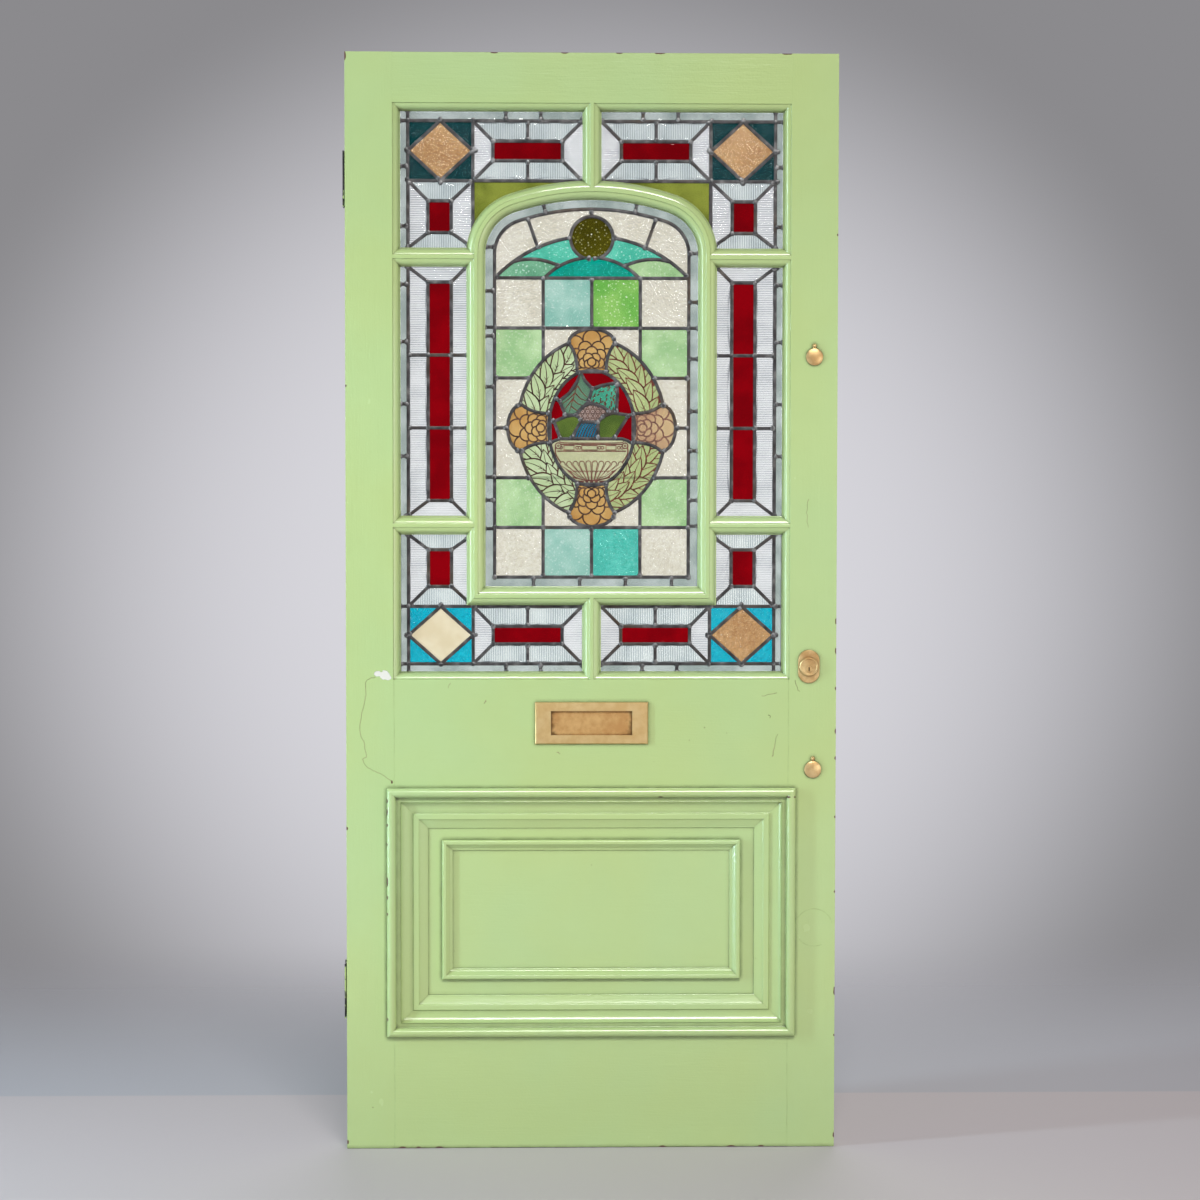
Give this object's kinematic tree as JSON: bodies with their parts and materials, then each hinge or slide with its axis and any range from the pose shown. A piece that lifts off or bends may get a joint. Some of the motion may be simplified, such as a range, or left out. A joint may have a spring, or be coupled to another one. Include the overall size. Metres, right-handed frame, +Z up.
{
  "type": "panelled front door with leaded lights",
  "caption": "Green painted front door leaf with arched leaded glass, a bolection panel, letter plate, cylinder pull, mortice locks and butt hinges.",
  "frame": {"origin": "middle of the leaf at its bottom edge, halfway through its thickness", "axes": "+X to the lock side as seen from outside, +Y from the outside face to the inside face, +Z up"},
  "size_m": [0.9167, 0.078, 2.032],
  "materials": {
    "painted_timber": "softwood under thick glossy green paint, chipped at the edges",
    "lead": "dull grey lead came with soldered joints",
    "ruby_glass": "deep red glass",
    "reeded_glass": "clear glass with fine ribs",
    "teal_glass": "hammered teal glass",
    "amber_glass": "hammered pale brown glass",
    "olive_glass": "olive green glass",
    "border_glass": "pale blue grey glass",
    "cathedral_glass": "hammered cream glass",
    "green_glass": "pale green glass",
    "turquoise_glass": "light turquoise glass",
    "painted_glass": "kiln-painted glass",
    "painted_steel": "steel hinge with worn paint",
    "plain_steel": "dull steel",
    "brass": "brass with a brown patina"
  },
  "bodies": {
    "hinge_side": {"hinge_frame_leaves": "painted_steel", "hinge_pins": "painted_steel"},
    "door_leaf": {"hinge_stile": "painted_timber", "lock_stile": "painted_timber", "top_rail": "painted_timber", "lock_rail": "painted_timber", "bottom_rail": "painted_timber", "top_muntin": "painted_timber", "bottom_muntin": "painted_timber", "upper_side_bars": "painted_timber", "lower_side_bars": "painted_timber", "arch_head": "painted_timber", "centre_legs": "painted_timber", "centre_sill": "painted_timber", "bottom_panel": "painted_timber", "bolection_moulding": "painted_timber", "field_moulding": "painted_timber", "back_moulding": "painted_timber", "glazing_beads": "painted_timber", "tenon_wedges": "painted_timber", "cames_centre": "lead", "cames_top_left": "lead", "cames_top_right": "lead", "cames_side_left": "lead", "cames_side_right": "lead", "cames_bottom_left": "lead", "cames_bottom_right": "lead", "glass_ruby": "ruby_glass", "glass_reeded": "reeded_glass", "glass_teal": "teal_glass", "glass_amber": "amber_glass", "glass_olive": "olive_glass", "glass_border": "border_glass", "glass_cathedral": "cathedral_glass", "glass_green": "green_glass", "glass_turquoise": "turquoise_glass", "glass_shells": "painted_glass", "glass_laurel": "painted_glass", "glass_bowl": "painted_glass", "glass_flowers": "painted_glass", "saddle_bar": "plain_steel", "hinge_door_leaves": "painted_steel", "hinge_screws": "painted_steel", "letter_plate": "brass", "flap_rod": "plain_steel", "flap_springs": "plain_steel", "letter_bolts": "brass", "key_plates": "brass", "cover_pivots": "brass", "cylinder_pull": "brass", "cylinder_body": "brass", "cylinder_back_plate": "plain_steel", "cylinder_screws": "plain_steel", "lock_cases": "plain_steel"},
    "flap": {"letter_flap": "brass"},
    "upper_key_cover": {"key_cover_upper": "brass"},
    "lower_key_cover": {"key_cover_lower": "brass"},
    "plug": {"cylinder_plug": "brass"},
    "upper_bolt": {"lock_bolt_upper": "brass"},
    "lower_bolt": {"lock_bolt_lower": "brass"}
  },
  "joints": [
    {"name": "door_swing", "type": "hinge", "parent": "hinge_side", "child": "door_leaf", "pos_m": [-0.45625, 0.028, 0], "axis": [0, 0, 1], "range_deg": [0, 170]},
    {"name": "letter_flap_push", "type": "hinge", "parent": "door_leaf", "child": "flap", "pos_m": [0, -0.018, 0.822], "axis": [1, 0, 0], "range_deg": [0, 80], "stiffness_Nm_per_rad": 0.06, "springref_deg": -28.65},
    {"name": "upper_key_cover_swing", "type": "hinge", "parent": "door_leaf", "child": "upper_key_cover", "pos_m": [0.412, -0.0238, 1.4955], "axis": [0, 1, 0], "range_deg": [-170, 170]},
    {"name": "lower_key_cover_swing", "type": "hinge", "parent": "door_leaf", "child": "lower_key_cover", "pos_m": [0.412, -0.0238, 0.7295], "axis": [0, 1, 0], "range_deg": [-170, 170]},
    {"name": "cylinder_turn", "type": "hinge", "parent": "door_leaf", "child": "plug", "pos_m": [0.404, 0, 0.8965], "axis": [0, 1, 0], "range_deg": [-100, 100]},
    {"name": "upper_bolt_throw", "type": "slide", "parent": "door_leaf", "child": "upper_bolt", "axis": [1, 0, 0], "range_m": [0, 0.014]},
    {"name": "lower_bolt_throw", "type": "slide", "parent": "door_leaf", "child": "lower_bolt", "axis": [1, 0, 0], "range_m": [0, 0.014]}
  ]
}
